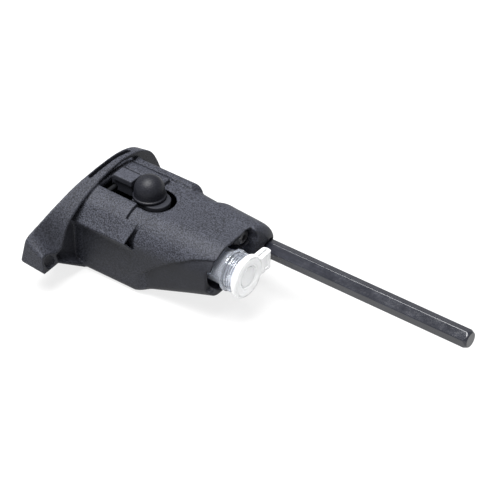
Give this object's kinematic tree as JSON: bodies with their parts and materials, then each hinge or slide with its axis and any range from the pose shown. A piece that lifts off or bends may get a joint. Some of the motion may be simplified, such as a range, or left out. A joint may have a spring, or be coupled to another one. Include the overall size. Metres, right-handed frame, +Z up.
{
  "type": "hexagon service key with stowed vial",
  "caption": "Plug-in service key: moulded black handle with curved pull flange and sprung dome button, straight hexagon bar, and a capped clear vial stowed in a nose pocket.",
  "frame": {"origin": "centre of the footprint of the key's bounding box, on the plane of the handle's flat underside", "axes": "+X along the hexagon bar towards its free tip, +Y across the handle to its far side (the pull tab is at -Y), +Z up through the latch button"},
  "size_m": [0.1316, 0.0562, 0.032],
  "materials": {
    "grained_black": "fine spark-eroded grain, satin black, with smoother side walls",
    "inner_black": "plain moulded black, hidden inside",
    "black_oxide": "black oxide over steel, dull sheen",
    "spring_steel": "bright drawn spring steel",
    "clear_plastic": "clear polished plastic, lightly frosted by mould marks"
  },
  "bodies": {
    "handle": {"main_housing": "grained_black", "end_cover": "grained_black", "cover_screw_near": "black_oxide", "cover_screw_far": "black_oxide", "inner_frame": "inner_black", "hex_bar": "black_oxide", "bar_bushing": "inner_black", "nose_plate": "grained_black", "nose_screw": "black_oxide", "vial_sleeve": "inner_black", "vial_clip": "spring_steel", "latch_pin": "spring_steel", "latch_spring": "spring_steel"},
    "latch": {"latch_lever": "grained_black", "latch_button": "grained_black"},
    "vial": {"vial_tube": "clear_plastic"},
    "cap": {"vial_cap": "clear_plastic"}
  },
  "joints": [
    {"name": "latch_press", "type": "hinge", "parent": "handle", "child": "latch", "pos_m": [-0.0518, 0.0044, 0.0243], "axis": [0, 1, 0], "range_deg": [0, 12], "stiffness_Nm_per_rad": 0.05, "springref_deg": -4.98, "deforming": ["latch_spring"]},
    {"name": "vial_slide", "type": "slide", "parent": "handle", "child": "vial", "axis": [1, 0, 0], "range_m": [0, 0.03]},
    {"name": "cap_hinge", "type": "hinge", "parent": "vial", "child": "cap", "pos_m": [-0.00135, 0.0106, 0.0166], "axis": [0, 0, 1], "range_deg": [0, 80]}
  ]
}
